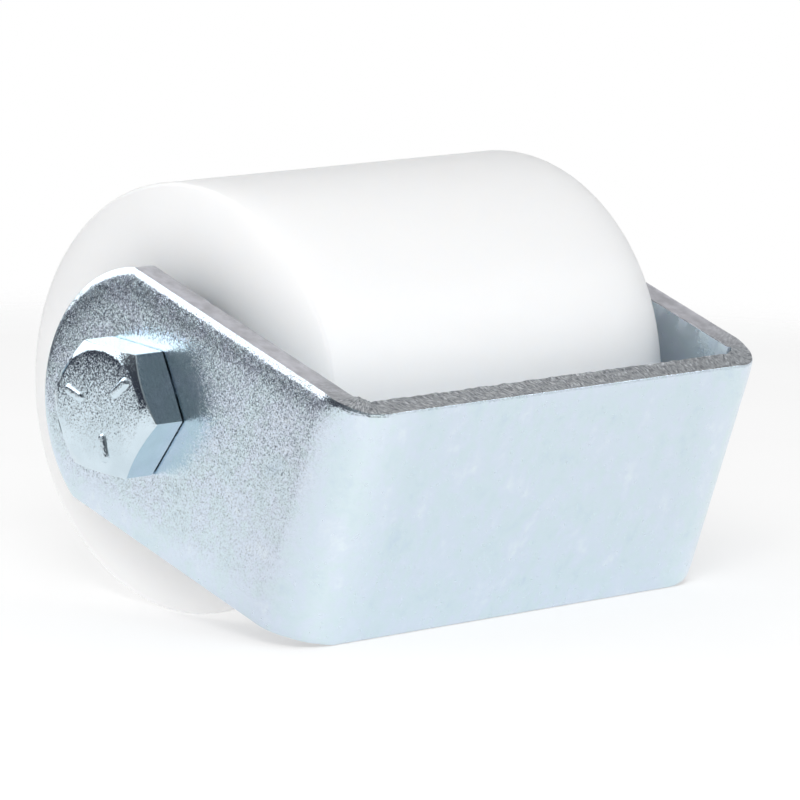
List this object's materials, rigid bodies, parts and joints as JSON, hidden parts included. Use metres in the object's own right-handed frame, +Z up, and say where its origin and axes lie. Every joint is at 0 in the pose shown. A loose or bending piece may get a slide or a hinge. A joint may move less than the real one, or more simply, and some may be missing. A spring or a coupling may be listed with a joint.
{
  "type": "bow roller",
  "caption": "Smooth cylindrical nylon roller that spins on a bolt between the ears of a weld-on U-bracket of zinc-plated steel plate.",
  "frame": {"origin": "centre of the web's outer face, which is welded on", "axes": "+X from that face towards the roller, +Y along the roller's axis towards the bolt's head, +Z up"},
  "size_m": [0.0962, 0.1494, 0.0824],
  "materials": {
    "zinc_plate": "zinc plated plate with a fine frosty grain, pale blue",
    "zinc_bolt": "bright zinc plating",
    "nylon": "satin white nylon, slightly translucent",
    "locking_nylon": "satin nylon",
    "turned_steel": "turned, zinc plated",
    "bearing_steel": "ground bright",
    "ball_steel": "polished",
    "cage_nylon": "moulded, natural",
    "seal_rubber": "moulded, matt"
  },
  "bodies": {
    "frame": {"bracket": "zinc_plate", "axle_bolt": "zinc_bolt", "lock_nut": "zinc_bolt", "nut_insert": "locking_nylon", "nut_washer": "zinc_bolt", "centre_spacer": "turned_steel", "near_end_collar": "turned_steel", "far_end_collar": "turned_steel", "near_bearing_inner_ring": "bearing_steel", "far_bearing_inner_ring": "bearing_steel"},
    "roller_body": {"roller": "nylon", "near_bearing_outer_ring": "bearing_steel", "near_bearing_outer_seal": "seal_rubber", "near_bearing_inner_seal": "seal_rubber", "far_bearing_outer_ring": "bearing_steel", "far_bearing_outer_seal": "seal_rubber", "far_bearing_inner_seal": "seal_rubber"},
    "near_ball_set": {"near_bearing_balls": "ball_steel", "near_bearing_cage": "cage_nylon"},
    "far_ball_set": {"far_bearing_balls": "ball_steel", "far_bearing_cage": "cage_nylon"}
  },
  "joints": [
    {"name": "roller_spin", "type": "hinge", "parent": "frame", "child": "roller_body", "pos_m": [0.055, 0, 0], "axis": [0, 1, 0], "continuous": true},
    {"name": "near_ball_orbit", "type": "hinge", "parent": "frame", "child": "near_ball_set", "pos_m": [0.055, 0.038, 0], "axis": [0, 1, 0], "continuous": true},
    {"name": "far_ball_orbit", "type": "hinge", "parent": "frame", "child": "far_ball_set", "pos_m": [0.055, -0.038, 0], "axis": [0, 1, 0], "continuous": true}
  ],
  "couplings": [
    {"joint": "near_ball_orbit", "follows": "roller_spin", "ratio": 0.6184},
    {"joint": "far_ball_orbit", "follows": "roller_spin", "ratio": 0.6184}
  ]
}
